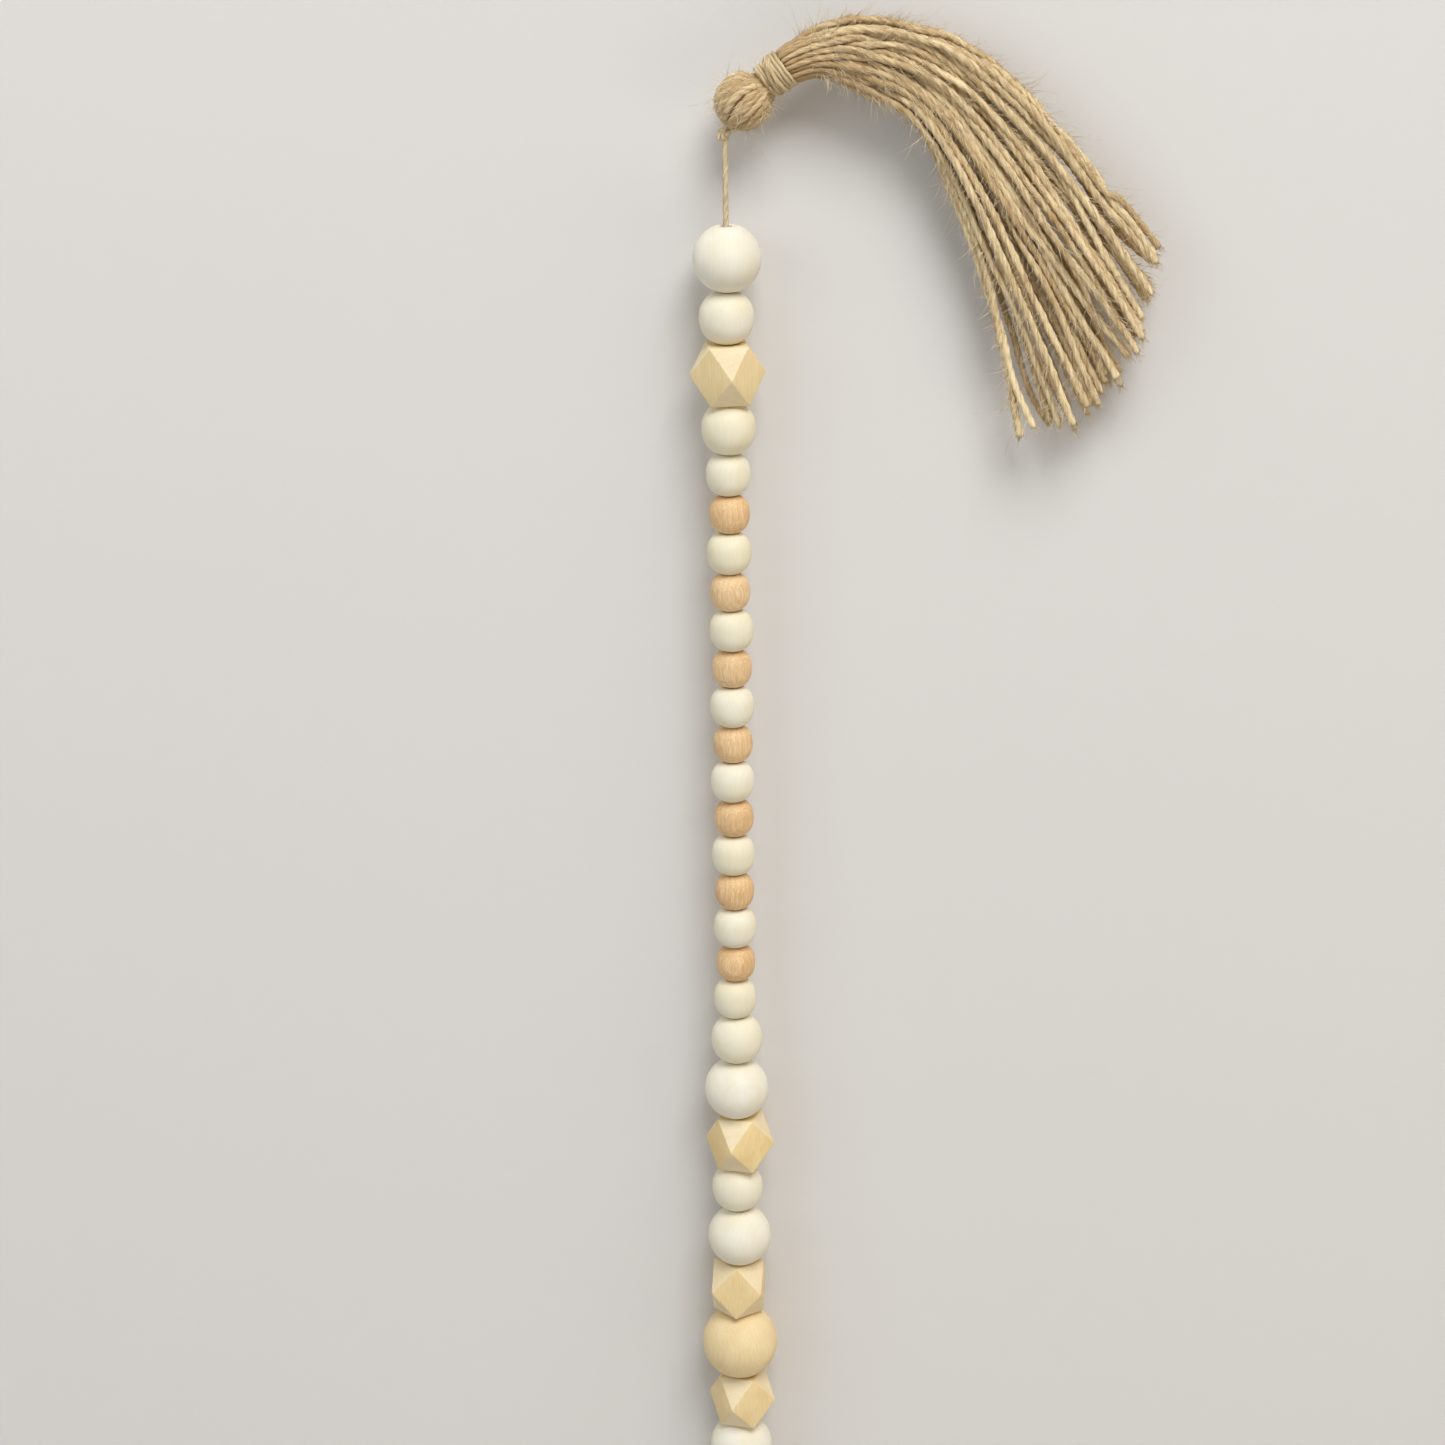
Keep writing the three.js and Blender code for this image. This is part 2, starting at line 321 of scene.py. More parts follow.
def turned_bead(name, diameter, length, shape, segments):
    """A turned bead about the origin. Shape 2 is a true ball, and more has squarer shoulders."""
    deselect_all()
    bpy.ops.mesh.primitive_uv_sphere_add(segments=segments, ring_count=segments * 2 // 3, radius=1)
    bead = bpy.context.object
    bead.name = name
    mesh = bead.data
    for vertex in mesh.vertices:
        across, along = math.hypot(vertex.co.x, vertex.co.y), abs(vertex.co.z)
        vertex.co *= diameter / 2 / (across ** shape + along ** shape) ** (1 / shape)
    bpy.ops.object.mode_set(mode="EDIT")
    for end in (1, -1):
        bpy.ops.mesh.select_all(action="SELECT")
        bpy.ops.mesh.bisect(
            plane_co=(0, 0, end * length / 2), plane_no=(0, 0, end), use_fill=True, clear_outer=True)
    flat_radius = diameter / 2 * (1 - (length / diameter) ** shape) ** (1 / shape)

    def on_end(point):
        return abs(abs(point.z) - length / 2) < same_place

    def on_rim(edge):
        return on_end(edge.verts[0].co) and on_end(edge.verts[1].co)

    select_in(mesh, "FACE", lambda face: on_end(face.calc_center_median()) and abs(face.normal.z) > 0.99)
    bpy.ops.mesh.inset(thickness=flat_radius - bore_radius)
    bpy.ops.mesh.delete(type="FACE")
    select_in(mesh, "EDGE", lambda edge: edge.is_boundary)
    bpy.ops.mesh.bridge_edge_loops()
    select_in(mesh, "EDGE", lambda edge: on_rim(edge) and abs(edge.calc_face_angle(0)) > 0.2)
    bpy.ops.mesh.bevel(offset=rim_round, segments=3, profile=0.5)
    bpy.ops.mesh.select_all(action="SELECT")
    bpy.ops.mesh.remove_doubles(threshold=same_place)
    bpy.ops.mesh.normals_make_consistent(inside=False)
    bpy.ops.object.mode_set(mode="OBJECT")
    bpy.ops.object.shade_smooth_by_angle(angle=math.radians(40))
    return bead


def wood(name, pale, dark, tint, ring_gap, ring_depth, fibre_depth, roughness):
    """Sanded wood along each bead's grain: year rings, fine fibres, soft blotches and the bead's own tint."""
    material = bpy.data.materials.new(name)
    material.use_nodes = True
    links = material.node_tree.links
    shader = material.node_tree.nodes["Principled BSDF"]
    shader.inputs["Specular IOR Level"].default_value = 0.25
    shader.inputs["Roughness"].default_value = roughness
    grain = add_node(material, "ShaderNodeAttribute", attribute_name="grain")
    bent = add_node(material, "ShaderNodeTexNoise", Scale=60, Detail=2)
    bend = add_node(material, "ShaderNodeVectorMath", operation="MULTIPLY_ADD")
    bend.inputs[1].default_value = (5 * mm, 5 * mm, 5 * mm)
    rings = add_node(
        material, "ShaderNodeTexWave", wave_type="RINGS", rings_direction="Z", wave_profile="SAW",
        Scale=0.314 / ring_gap, Distortion=0.5, Detail=2, Detail_Scale=1.5)
    fibre_stretch = add_node(material, "ShaderNodeMapping", Scale=(3000, 3000, 150))
    fibres = add_node(material, "ShaderNodeTexNoise", Scale=1, Detail=3)
    blotches = add_node(material, "ShaderNodeTexNoise", Scale=110, Detail=1)
    links.new(grain.outputs["Vector"], bent.inputs["Vector"])
    links.new(bent.outputs["Color"], bend.inputs[0])
    links.new(grain.outputs["Vector"], bend.inputs[2])
    links.new(bend.outputs[0], rings.inputs["Vector"])
    links.new(grain.outputs["Vector"], fibre_stretch.inputs["Vector"])
    links.new(fibre_stretch.outputs[0], fibres.inputs["Vector"])
    links.new(grain.outputs["Vector"], blotches.inputs["Vector"])
    tone = weighed_sum(material, [
        (rings.outputs["Fac"], ring_depth), (fibres.outputs["Fac"], fibre_depth),
        (blotches.outputs["Fac"], 1.2)], -0.1 - 0.5 * fibre_depth)
    ramp = add_node(material, "ShaderNodeValToRGB")
    ramp.color_ramp.elements[0].color = (*pale, 1)
    ramp.color_ramp.elements[1].color = (*dark, 1)
    own = add_node(material, "ShaderNodeAttribute", attribute_name="tint")
    stain = add_node(material, "ShaderNodeMix", data_type="RGBA", blend_type="MULTIPLY")
    stain.inputs["B"].default_value = (*tint, 1)
    bump = add_node(material, "ShaderNodeBump", Strength=0.15, Distance=0.2 * mm)
    links.new(tone, ramp.inputs["Fac"])
    links.new(own.outputs["Fac"], stain.inputs["Factor"])
    links.new(ramp.outputs["Color"], stain.inputs["A"])
    links.new(stain.outputs["Result"], shader.inputs["Base Color"])
    links.new(fibres.outputs["Fac"], bump.inputs["Height"])
    links.new(bump.outputs["Normal"], shader.inputs["Normal"])
    return material


cream_wood = wood("cream_stained_wood", (0.86, 0.84, 0.79), (0.80, 0.735, 0.57), (0.97, 0.94, 0.79),
                  1.7 * mm, 0.2, 0.7, 0.55)
beech_wood = wood("bare_beech", (0.88, 0.665, 0.405), (0.66, 0.435, 0.22), (0.97, 0.88, 0.76),
                  2.0 * mm, 0.3, 2.4, 0.5)
pale_wood = wood("bare_pale_wood", (0.87, 0.76, 0.53), (0.75, 0.60, 0.37), (1.0, 0.91, 0.68),
                 1.5 * mm, 0.18, 1.3, 0.55)
finishes = {  # material, record slot, how often the grain runs across the bore, least and most tint
    "large": (cream_wood, "cream_wood", 0.2, 0, 0.4),
    "medium": (cream_wood, "cream_wood", 0.3, 0.3, 0.9),
    "small": (cream_wood, "cream_wood", 0.3, 0.5, 1),
    "tan": (beech_wood, "tan_wood", 0, 0, 1),
    "centre": (pale_wood, "natural_wood", 0, 0.6, 0.6),
    "geometric": (pale_wood, "natural_wood", 0, 0.6, 1),
}


def vertex_points(mesh):
    points = np.empty(len(mesh.vertices) * 3, np.float32)
    mesh.vertices.foreach_get("co", points)
    return points.reshape(-1, 3)


def hang_bead(pattern, kind, node, turn, lean=0.0, aside=0.0):
    """Copies a pattern bead to a node's place, with its own mesh, run of the grain and tint."""
    finish, slot, cross_grain, least, most = finishes[kind]
    bead = pattern.copy()
    bead.data = pattern.data.copy()
    bead.name = "wood_" + node
    bead.data.name = bead.name
    bpy.context.scene.collection.objects.link(bead)
    mesh = bead.data
    grain_lean = 0.1
    grain_way = (
        Matrix.Rotation(rng.uniform(-grain_lean, grain_lean), 3, "X")
        @ Matrix.Rotation(rng.uniform(-grain_lean, grain_lean), 3, "Y"))
    if rng.random() < cross_grain:
        grain_way = Matrix.Rotation(math.pi / 2 + rng.uniform(-0.4, 0.4), 3, "X") @ grain_way
    pith = rng.uniform(14, 45) * mm
    around = rng.uniform(0, 2 * math.pi)
    shift = np.array([pith * math.cos(around), pith * math.sin(around), rng.uniform(-3, 3)])
    grain = vertex_points(mesh) @ np.array(grain_way).T + shift
    mesh.attributes.new("grain", "FLOAT_VECTOR", "POINT").data.foreach_set(
        "vector", grain.astype(np.float32).ravel())
    facing = np.empty(len(mesh.polygons) * 3, np.float32)
    mesh.polygons.foreach_get("normal", facing)
    end_grain = math.sqrt(3) * abs(facing.reshape(-1, 3)).min(axis=1) * (kind == "geometric")
    tint = (least + (most - least) * rng.random()) * (1 - end_grain)
    mesh.attributes.new("tint", "FLOAT", "FACE").data.foreach_set("value", tint.astype(np.float32))
    play = 0.3 * mm
    slack = 0.02
    mesh.transform(
        Matrix.Translation(node_middle(node))
        @ Matrix.Translation((aside + rng.uniform(-play, play), rng.uniform(-play, play), 0))
        @ Matrix.Rotation(-lean + rng.uniform(-slack, slack), 4, "X")
        @ Matrix.Rotation(rng.uniform(-slack, slack), 4, "Y")
        @ Matrix.Rotation(turn, 4, "Z"))
    mesh.materials.clear()
    mesh.materials.append(finish)
    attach(bead, node)
    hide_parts(node)


bead_nodes = sorted(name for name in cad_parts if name.startswith("bead_"))
turned_kinds = {  # diameter, shape and segments
    "large": (25 * mm, 2, 64),
    "medium": (20 * mm, 2.2, 56),
    "small": (16.5 * mm, 2.4, 48),
    "tan": (15 * mm, 2.4, 48),
    "centre": (30.2 * mm, 2, 72),
}
bead_patterns = {}
for node in bead_nodes:
    kind = node.split("_")[2]
    if kind in turned_kinds and kind not in bead_patterns:
        diameter, shape, segments = turned_kinds[kind]
        low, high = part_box(node)
        bead_patterns[kind] = turned_bead(kind + "_pattern", diameter, high.z - low.z, shape, segments)

# ---- The geometric beads ----
# Six beads are cut from square blocks of bare pale wood: each corner is sawn off to the middles of its
# edges, which leaves eight triangles of paler end grain and six squares. Sanding takes back the four points
# round the waist and eases the sharp edges.
geometric_width = 20 * mm
waist_reach = 13.85 * mm
edge_round = 0.32 * mm


def geometric_bead(name, width, length):
    deselect_all()
    bpy.ops.mesh.primitive_cube_add(size=1)
    bead = bpy.context.object
    bead.name = name
    bpy.ops.object.mode_set(mode="EDIT")
    bpy.ops.mesh.select_all(action="SELECT")
    bpy.ops.transform.resize(value=(width, width, length))
    bpy.ops.mesh.bevel(offset_type="PERCENT", offset_pct=50, affect="VERTICES")
    bpy.ops.mesh.remove_doubles(threshold=same_place)
    for quarter in range(4):
        way = Vector((1, 1, 0)).normalized()
        way.rotate(Matrix.Rotation(quarter * math.pi / 2, 3, "Z"))
        bpy.ops.mesh.select_all(action="SELECT")
        bpy.ops.mesh.bisect(plane_co=way * waist_reach, plane_no=way, use_fill=True, clear_outer=True)
    bpy.ops.mesh.select_all(action="SELECT")
    bpy.ops.mesh.bevel(offset=edge_round, segments=3, profile=0.5)
    bpy.ops.mesh.remove_doubles(threshold=same_place)
    bpy.ops.mesh.normals_make_consistent(inside=False)
    bpy.ops.object.mode_set(mode="OBJECT")
    deselect_all()
    bpy.ops.mesh.primitive_cylinder_add(vertices=48, radius=bore_radius, depth=length * 1.5)
    drill = bpy.context.object
    deselect_all()
    bead.select_set(True)
    bpy.context.view_layer.objects.active = bead
    bore = bead.modifiers.new("bore", "BOOLEAN")
    bore.object = drill
    bore.solver = "EXACT"
    bpy.ops.object.modifier_apply(modifier="bore")
    bpy.data.objects.remove(drill)
    bpy.ops.object.shade_smooth_by_angle(angle=math.radians(25))
    return bead


first_geometric = next(node for node in bead_nodes if node.endswith("geometric"))
low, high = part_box(first_geometric)
bead_patterns["geometric"] = geometric_bead("geometric_pattern", geometric_width, high.z - low.z)

# How each geometric bead sits on the cord, from the top one down: its turn and its lean back in degrees, and
# how far it sits aside in millimetres.
geometric_seats = iter([(51, 0, 0), (29, 4, 0.7), (-6, 4, -0.3), (27, 3, 0.8), (12, 0, 0), (37, 0, 0)])
for node in bead_nodes:
    kind = node.split("_")[2]
    turn, lean, aside = next(geometric_seats) if kind == "geometric" else (rng.uniform(0, 360), 0, 0)
    hang_bead(bead_patterns[kind], kind, node, math.radians(turn), math.radians(lean), aside * mm)
for pattern in bead_patterns.values():
    bpy.data.objects.remove(pattern)

# ---- The tassel skirts ----
# Each tassel is 22 lengths of three-ply jute twine, folded in the middle, so 44 strands hang in its skirt.
# The upper one flops over beside the string in a fan, and the lower one hangs straight.
twine_radius = 1.48 * mm
collar_strand_radius = 0.98 * mm
held_strand_radius = 0.75 * mm
strand_count = 44
tassel_jute = jute("tassel_jute_twine", (0.94, 0.765, 0.465), (0.48, 0.32, 0.15), twine_radius)

binding_length = 11 * mm
collar_reach = binding_length / 2 + 0.3 * mm
neck_width = 14.2 * mm
tassel_lean = math.radians(33)
neck_way = np.array([math.cos(tassel_lean), 0, math.sin(tassel_lean)])
neck_side = np.array([-math.sin(tassel_lean), 0, math.cos(tassel_lean)])
wall_way = np.array([0, 1, 0])
collar = neck_way * collar_reach

# The strands on the outer and the inner edge of the fan, as X and Z from the end of the binding, in mm.
outer_edge = [(12, 15), (30, 17.5), (56, 11.5), (80, -5), (104, -30), (133, -63)]
inner_edge = [(14, -5), (31, -14), (45, -23), (58, -49), (71, -85), (84, -136)]
fan_depth = 22 * mm
station_count = 121
line_points = 240
along = np.linspace(0, 1, station_count)

# Where the binding holds the strands: how deep inside it, and the radius that they fill there.
held_places = ((0.2 * mm, 4.3 * mm), (0.7 * collar_reach, 5.0 * mm))


def even_route(points, count):
    """The smooth curve through the points, with its own points spaced evenly along it."""
    dense = smooth_route(points, 400)
    walked = distance_along(dense)
    return np.stack([np.interp(np.linspace(0, walked[-1], count), walked, dense[:, k]) for k in range(3)], 1)


def paint_held_shade(piece, held_at, fade):
    """Paints shade on the strands where they are held close together, less and less away from there."""
    away = np.linalg.norm(vertex_points(piece.data) - held_at, axis=1)
    piece.data.attributes.new("held_shade", "FLOAT", "POINT").data.foreach_set(
        "value", np.exp(-away / fade).astype(np.float32))


def fan_edge(side, points):
    start = collar + neck_side * side * neck_width / 2
    return even_route([start] + [collar + np.array([x, 0, z]) * mm for x, z in points], station_count)


def packed_disc(count):
    """Places spread evenly over a unit disc, each a golden angle on from the last."""
    golden_angle = 2.39996
    k = np.arange(count)
    reach = np.sqrt((k + 0.5) / count)
    return reach * np.cos(k * golden_angle), reach * np.sin(k * golden_angle)


def sway(waves, size):
    """A gentle random wave for each strand, none at its held end."""
    out = np.zeros((strand_count, station_count))
    for wave in waves:
        phase = rng.random((strand_count, 1))
        out += rng.normal(size=(strand_count, 1)) * np.sin(2 * np.pi * (wave * along + phase)) / wave ** 0.6
    return (out - out[:, :1]) * size * np.minimum(along * 4, 1)


def settle(across, through, room_across, room_through, need):
    """Pushes strands apart where two share the same room, and keeps them inside the bundle."""
    for _ in range(60):
        gap_across = across[:, None] - across[None]
        gap_through = through[:, None] - through[None]
        apart = np.sqrt(gap_across ** 2 + gap_through ** 2) + 1e-9
        push = 0.3 * np.clip(need - apart, 0, None) / apart
        across = across + (push * gap_across).sum(1)
        through = through + (push * gap_through).sum(1)
        beyond = np.maximum(np.sqrt((across / room_across) ** 2 + (through / room_through) ** 2), 1)
        across, through = across / beyond, through / beyond
        for run in (across, through):
            run[:, 1:-1] = 0.25 * run[:, :-2] + 0.5 * run[:, 1:-1] + 0.25 * run[:, 2:]
    return across, through


def skirt_strands(lines, first_serial):
    """Twine along each line, squeezed where the binding holds it."""
    strands = []
    for k, line in enumerate(lines):
        radius = np.interp(
            distance_along(line), [0, collar_reach, collar_reach + 20 * mm],
            [held_strand_radius, collar_strand_radius, twine_radius])
        radius = radius * rng.uniform(0.88, 1.08)
        strands.append(twine(
            line, radius, pitch=rng.uniform(11, 16) * mm, step=1.15 * mm, serial=first_serial + k))
    return strands


outer_route, inner_route = fan_edge(1, outer_edge), fan_edge(-1, inner_edge)
fan_middle = (outer_route + inner_route) / 2
fan_way = (outer_route - inner_route) / 2
half_width = np.linalg.norm(fan_way, axis=1)
fan_way /= half_width[:, None]
end_way = (outer_route[-1] - outer_route[-2]) + (inner_route[-1] - inner_route[-2])
end_way /= np.linalg.norm(end_way)
half_depth = (neck_width + (fan_depth - neck_width) * along ** 0.6) / 2
thickness = np.interp(along, [0, 0.12, 1], [collar_strand_radius, twine_radius, twine_radius])
disc_u, disc_v = packed_disc(strand_count)
rank = np.argsort(np.argsort(disc_u)) / (strand_count - 1)
end_u = np.clip(2 * rank ** 0.72 - 1 + rng.normal(size=strand_count) * 0.05, -1, 1)
end_v = rng.uniform(-0.95, 0.95, strand_count) * np.sqrt(1 - end_u ** 2)
blend = along[None] ** 0.7
fan_u = disc_u[:, None] / np.abs(disc_u).max() * (1 - blend) + end_u[:, None] * blend
fan_u = fan_u + (
    rng.normal(size=(strand_count, 1)) * 0.10 * np.sin(np.pi * along) * np.sqrt(1 - end_u ** 2)[:, None])
fan_v = disc_v[:, None] * (1 - blend) + end_v[:, None] * blend
fan_across, fan_through = settle(
    np.clip(fan_u, -1, 1) * (half_width - thickness) + sway((0.7, 1.3, 2.6), 0.9 * mm),
    fan_v * (half_depth - thickness) + sway((0.8, 1.6), 0.7 * mm),
    half_width - thickness, half_depth - thickness, 1.9 * thickness)
fan_across = fan_across + sway((5, 9, 14), 0.3 * mm) + sway((1.9, 3.3), 1.1 * mm) * along ** 2

fan_lines = []
for k in range(strand_count):
    reach = 20 * mm * (1 - end_u[k] ** 2) * rng.uniform(0.8, 1.2) + rng.uniform(-4, 1.5) * mm
    line = (
        fan_middle + fan_way * fan_across[k][:, None] + np.outer(fan_through[k], wall_way)
        + np.outer(along ** 4 * reach, end_way))
    held = [
        neck_way * depth + (neck_side * disc_u[k] + wall_way * disc_v[k]) * spread
        for depth, spread in held_places]
    fan_lines.append(even_route(np.vstack([held, line[::4]]), line_points))
upper_skirt = spun_piece("jute_skirt_upper", skirt_strands(fan_lines, 2), tassel_jute)
# Painted shade on the skirt strands, darkest at the binding.
paint_held_shade(upper_skirt, collar, 32 * mm)
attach(upper_skirt, "upper_tassel")
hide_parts("upper_tassel_skirt")

lower_neck = np.array(node_middle("lower_tassel_binding"))
hang_length = lower_neck[2] - collar_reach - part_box("lower_tassel_skirt")[0].z
hang_radius = (neck_width / 2 + (7.0 * along ** 0.6 + 1.6 * along ** 3) * mm)
hang_across, hang_through = settle(
    disc_u[:, None] * (hang_radius - thickness) + sway((0.7, 1.3, 2.6), 1.3 * mm),
    disc_v[:, None] * (hang_radius - thickness) + sway((0.8, 1.4, 2.4), 1.3 * mm),
    hang_radius - thickness, hang_radius - thickness, 1.9 * thickness)
hang_across = hang_across + sway((5, 9, 14), 0.3 * mm)

hang_lines = []
for k in range(strand_count):
    drop = collar_reach + along * hang_length * rng.uniform(0.93, 1.0)
    line = lower_neck + np.stack([hang_across[k], hang_through[k], -drop], 1)
    held = [
        lower_neck + np.array([disc_u[k] * spread, disc_v[k] * spread, -depth])
        for depth, spread in held_places]
    hang_lines.append(even_route(np.vstack([held, line[::4]]), line_points))
lower_skirt = spun_piece("jute_skirt_lower", skirt_strands(hang_lines, 50), tassel_jute)
# Painted shade on the skirt strands, darkest at the binding.
paint_held_shade(lower_skirt, lower_neck, 32 * mm)
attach(lower_skirt, "lower_tassel")
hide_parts("lower_tassel_skirt")

# ---- The tassel heads ----
# The folds of the same twine make a ball: 22 loops run from the neck round the stringing cord and back, in
# three layers. On the upper head the cord pulls the folds down towards its knot, so the ball sags a little.
head_radius = 10.5 * mm
fold_layers = ((4, 4 * mm), (7, 7.3 * mm), (11, head_radius - twine_radius))  # loops and radius of each
head_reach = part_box("lower_tassel_head")[1].z - head_radius - lower_neck[2]
upper_turn = Matrix.Rotation(math.pi / 2 - tassel_lean, 4, "Y")
lower_turn = Matrix.Translation(lower_neck) @ Matrix.Rotation(math.pi, 4, "Y")


def moved(points, place):
    place = np.array(place)
    return points @ place[:3, :3].T + place[:3, 3]


def head_loop(radius, azimuth, pull, sag):
    """One fold, with the skirt towards +Z: out of the binding, round the far end of the ball and back."""
    out_way = np.array([math.cos(azimuth), math.sin(azimuth), 0])
    cross_way = np.array([-math.sin(azimuth), math.cos(azimuth), 0])
    swing = np.linspace(-math.radians(150), math.radians(150), 45)
    uneven = radius + 0.2 * mm * np.sin(3 * swing * rng.uniform(0.7, 1.2) + rng.uniform(0, 6.3))
    offset = rng.uniform(-1.6, 1.6) * mm
    ball = (
        np.outer(uneven * np.sin(swing), out_way)
        + np.outer(offset * np.cos(swing / 2) ** 2, cross_way)
        - np.outer(uneven * np.cos(swing), [0, 0, 1]))
    bend = -pull * np.cos(swing / 2) ** 2
    ball = np.stack([
        ball[:, 0] * np.cos(bend) + ball[:, 2] * np.sin(bend), ball[:, 1],
        ball[:, 2] * np.cos(bend) - ball[:, 0] * np.sin(bend)], 1)
    ball += np.array([sag, 0, 0.4 * sag]) - [0, 0, head_reach]
    inside = out_way * 3.4 * mm
    return smooth_route(np.vstack([[-inside - [0, 0, 1 * mm]], ball[::4], [inside - [0, 0, 1 * mm]]]), 160)


def tassel_head(name, node, body, place, pull, sag):
    """Winds a head from the middle out, and gives back the folds of its outer layer."""
    strands, folds = [], []
    for loops, radius in fold_layers:
        for k in range(loops):
            azimuth = math.pi * (k + rng.uniform(-0.12, 0.12)) / loops
            layer = radius - rng.uniform(0, 0.3) * mm
            folds.append(moved(head_loop(layer, azimuth, pull, sag), place))
            strands.append(twine(folds[-1], 1.06 * twine_radius, pitch=12 * mm, serial=100 + k))
    head = spun_piece(name, strands, tassel_jute)
    # Painted shade on the folds, darkest at the neck where the binding holds them.
    paint_held_shade(head, place.translation, 45 * mm)
    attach(head, body)
    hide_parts(node)
    return folds[-loops:]


upper_folds = tassel_head(
    "jute_head_upper", "upper_tassel_head", "upper_tassel", upper_turn, math.radians(22), 1.5 * mm)
lower_folds = tassel_head("jute_head_lower", "lower_tassel_head", "lower_tassel", lower_turn, 0, 0)


def head_tie(name, knot, head_middle, body):
    """The two runs of cord from a knot into the folds of a head, one each side of the lowest ones."""
    start = np.array(node_middle(knot))
    way = np.array(head_middle) - start
    strands = []
    for side in (-1, 1):
        spread = np.array([0.7, 0.4, 0]) * side
        points = [start, start + 0.2 * way + spread * 1.4 * mm, start + 0.36 * way + spread * 2.2 * mm,
                  start + 0.6 * way + spread * 1.2 * mm]
        strands.append(twine(
            smooth_route(points, 24), 0.85 * cord_radius, plies=2, pitch=8 * mm, step=0.6 * mm))
    tie = spun_piece(name, strands, cord_jute)
    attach(tie, body)


head_tie("cord_tie_upper", "upper_knot", -neck_way * head_reach, "upper_tassel")
head_tie("cord_tie_lower", "lower_knot", lower_neck + np.array([0, 0, head_reach]), "lower_tassel")

# ---- The bindings ----
# A thick soft jute yarn is wound round each neck in one layer from end to end, and two slanting turns over
# the middle lock it. The neck is a little wider at the skirt.
yarn_radius = 0.85 * mm
points_per_turn = 26
binding_jute = jute("binding_jute_yarn", (0.75, 0.60, 0.355), (0.40, 0.28, 0.135), yarn_radius)


def wrap(turns, reach, flare, half_length, slant, start, serial):
    """Yarn wound round the Z axis, wider by flare towards the skirt, and leaning by slant."""
    wind = np.linspace(0, 1, int(turns * points_per_turn))
    angle = 2 * np.pi * turns * wind + start
    reach = reach + flare * (2 * wind - 1) + 0.12 * mm * np.sin(angle * 0.37 + serial)
    height = (2 * wind - 1) * half_length + slant * np.cos(angle - start)
    return np.stack([reach * np.cos(angle), reach * np.sin(angle), height], 1)


def tassel_binding(name, node, body, place):
    layer = 6.1 * mm
    lock = layer + 0.8 * yarn_radius
    turns = (
        wrap(7.4, layer, 0.7 * mm, binding_length / 2 - 0.6 * yarn_radius, 0.25 * mm, 0, 1),
        wrap(1.4, lock, 0.1 * mm, 1.1 * mm, 1.9 * mm, 2.2, 2),
        wrap(1.3, lock, 0.2 * mm, 2.2 * mm, -1.5 * mm, 5.0, 3),
    )
    strands = [
        twine(
            moved(line, place), yarn_radius,
            plies=2, pitch=10 * mm, step=0.8 * mm, uneven=0.06, serial=120 + k)
        for k, line in enumerate(turns)]
    binding = spun_piece(name, strands, binding_jute)
    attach(binding, body)
    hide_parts(node)


tassel_binding("jute_binding_upper", "upper_tassel_binding", "upper_tassel", upper_turn)
tassel_binding("jute_binding_lower", "lower_tassel_binding", "lower_tassel", lower_turn)

# ---- The stray fibres ----
# Jute sheds fine pale hairs: they stand off the strands of the skirts and the outer folds of the heads, and
# burst from each cut end. None reaches past the whole piece by more than a few millimetres.
fibre_radius = 0.12 * mm
fibre_room = 4.6 * mm
jute_hair = jute("jute_hairs", (0.90, 0.79, 0.56), (0.58, 0.44, 0.25), fibre_radius)


def unit(vector):
    return vector / np.linalg.norm(vector)


def fibre(root, way, length, curl, serial):
    """One hair: a three-sided sliver in three bends that thins to its tip."""
    t = np.linspace(0, 1, 4)[:, None]
    line = root + way * length * t + curl * length * t ** 2
    side = unit(np.cross(way, [0.2, 0.5, 0.8]))
    other = np.cross(way, side)
    angle = 2 * np.pi * np.arange(3) / 3
    ring = np.cos(angle)[:, None] * side + np.sin(angle)[:, None] * other
    points = (line[:, None] + (fibre_radius * (1 - 0.6 * t))[:, None] * ring[None]).reshape(-1, 3)
    faces = [
        [r * 3 + k, r * 3 + (k + 1) % 3, r * 3 + 3 + (k + 1) % 3, r * 3 + 3 + k]
        for r in range(3) for k in range(3)]
    faces += [[2, 1, 0], [9, 10, 11]]
    lay = np.array([twine_radius, 0, serial_shift * serial]) + points
    return points, faces, lay


def fuzz(name, body, lines, along_count, end_count):
    """Hairs along every strand, mostly outwards from the bundle, and at the cut ends where it has them."""
    hairs = []
    bundle = np.mean(lines, axis=0)
    for serial, line in enumerate(lines):
        for _ in range(along_count):
            k = int(rng.uniform(0.08, 0.99) * (len(line) - 2))
            tangent = unit(line[k + 1] - line[k])
            out = unit(line[k] - bundle[k]) + rng.normal(size=3) * 0.6
            out = unit(out - tangent * out.dot(tangent))
            way = unit(tangent * rng.uniform(0.1, 1.6) + out)
            root = line[k] + out * 0.75 * twine_radius
            length = rng.uniform(1.5, 4) * mm / rng.uniform(0.35, 1)
            hairs.append(fibre(root, way, length, rng.normal(size=3) * 0.3, serial))
        tangent = unit(line[-1] - line[-3])
        for _ in range(end_count):
            way = unit(tangent + rng.normal(size=3) * 0.3)
            root = line[-1] - tangent * 0.5 * mm + rng.normal(size=3) * 0.45 * twine_radius
            hairs.append(fibre(root, way, rng.uniform(1, 3.5) * mm, rng.normal(size=3) * 0.2, serial))
    low, high = np.array(cad_box[0]) - fibre_room, np.array(cad_box[1]) + fibre_room
    inside = [hair for hair in hairs if (hair[0] > low).all() and (hair[0] < high).all()]
    piece = spun_piece(name, inside, jute_hair)
    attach(piece, body)


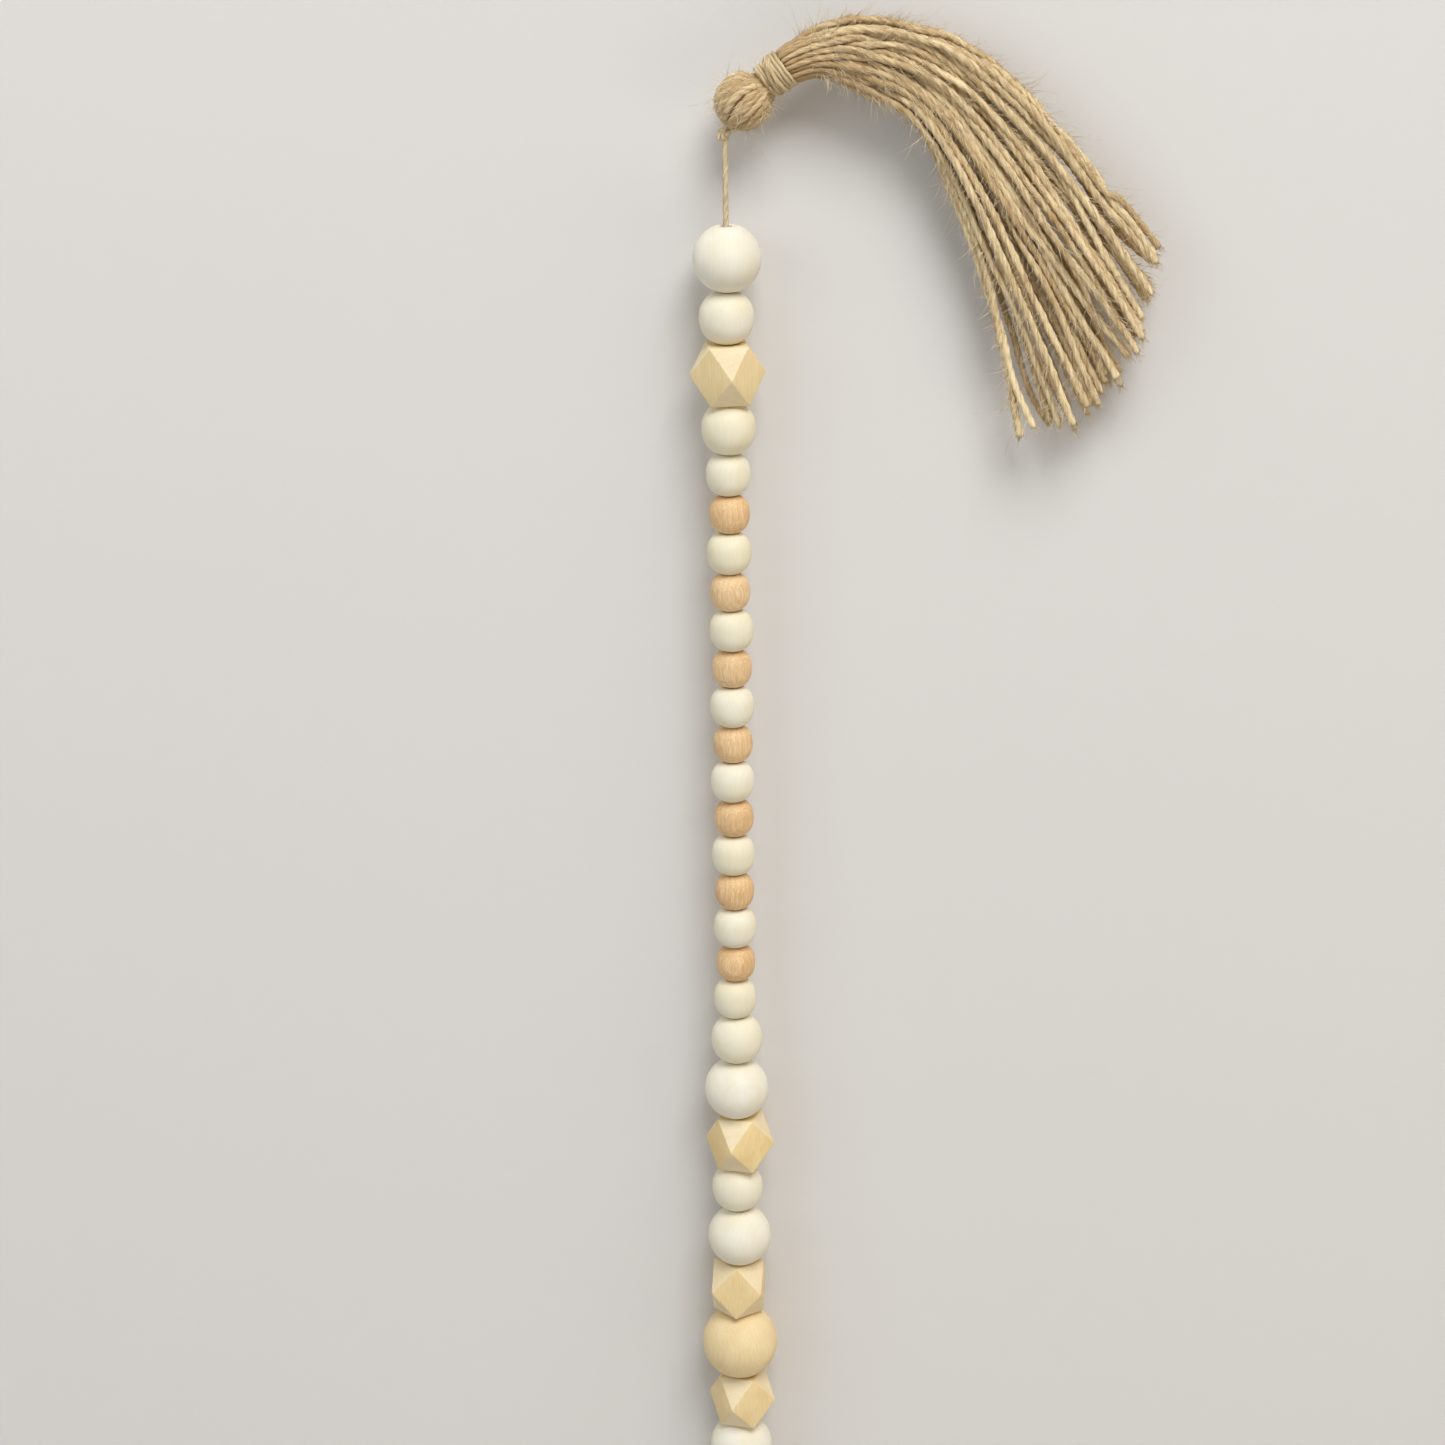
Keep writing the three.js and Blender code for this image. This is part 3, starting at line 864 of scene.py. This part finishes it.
fuzz("jute_fibres_upper", "upper_tassel", fan_lines, 140, 24)
fuzz("jute_fibres_lower", "lower_tassel", hang_lines, 140, 24)
fuzz("jute_head_fibres_upper", "upper_tassel", upper_folds, 28, 0)
fuzz("jute_head_fibres_lower", "lower_tassel", lower_folds, 28, 0)

# ---- The wall, the floor and the light ----
# A plain pale wall stands just behind the beads and a floor lies below. The wall shows from its front only,
# so the garland can be seen from behind. The main light is soft daylight from high in front.
wall_face = 16.5 * mm


def flat_paint(name, colour):
    material = bpy.data.materials.new(name)
    material.use_nodes = True
    shader = material.node_tree.nodes["Principled BSDF"]
    shader.inputs["Base Color"].default_value = (*colour, 1)
    shader.inputs["Roughness"].default_value = 0.9
    return material


wall_material = flat_paint("wall_paint", (0.71, 0.69, 0.665))
wall_nodes, wall_links = wall_material.node_tree.nodes, wall_material.node_tree.links
side_of = wall_nodes.new("ShaderNodeNewGeometry")
clear = wall_nodes.new("ShaderNodeBsdfTransparent")
either = wall_nodes.new("ShaderNodeMixShader")
wall_links.new(side_of.outputs["Backfacing"], either.inputs["Fac"])
wall_links.new(wall_nodes["Principled BSDF"].outputs[0], either.inputs[1])
wall_links.new(clear.outputs[0], either.inputs[2])
wall_links.new(either.outputs[0], wall_nodes["Material Output"].inputs["Surface"])
deselect_all()
bpy.ops.mesh.primitive_plane_add(size=5, location=(0, wall_face, -0.5), rotation=(math.pi / 2, 0, 0))
wall = bpy.context.object
wall.name = "wall"
wall.data.materials.append(wall_material)
bpy.ops.mesh.primitive_plane_add(size=8, location=(0, 0, -1.6))
floor = bpy.context.object
floor.name = "floor"
floor.data.materials.append(flat_paint("floor_paint", (0.66, 0.65, 0.63)))

world = bpy.data.worlds.new("room")
bpy.context.scene.world = world
world.use_nodes = True
world.node_tree.nodes["Background"].inputs["Color"].default_value = (1.0, 0.97, 0.93, 1)
world.node_tree.nodes["Background"].inputs["Strength"].default_value = 0.27


def soft_light(name, place, aim, size, power, colour):
    lamp = bpy.data.objects.new(name, bpy.data.lights.new(name, "AREA"))
    lamp.data.size = size
    lamp.data.energy = power
    lamp.data.color = colour
    lamp.location = place
    lamp.rotation_euler = (Vector(aim) - Vector(place)).to_track_quat("-Z", "Y").to_euler()
    bpy.context.scene.collection.objects.link(lamp)


middle = (0, 0, -0.35)
soft_light("key_light", (0.6, -1.9, 2.5), middle, 1.6, 99, (0.975, 0.985, 1.0))
soft_light("left_light", (-1.8, -1.6, 0.6), middle, 1.6, 14, (0.86, 0.93, 1.0))
soft_light("low_light", (1.9, -1.1, -0.8), middle, 1.4, 8, (1.0, 0.82, 0.60))
soft_light("back_light", (0.6, 1.8, 0.4), middle, 1.6, 14, (1.0, 0.98, 0.95))
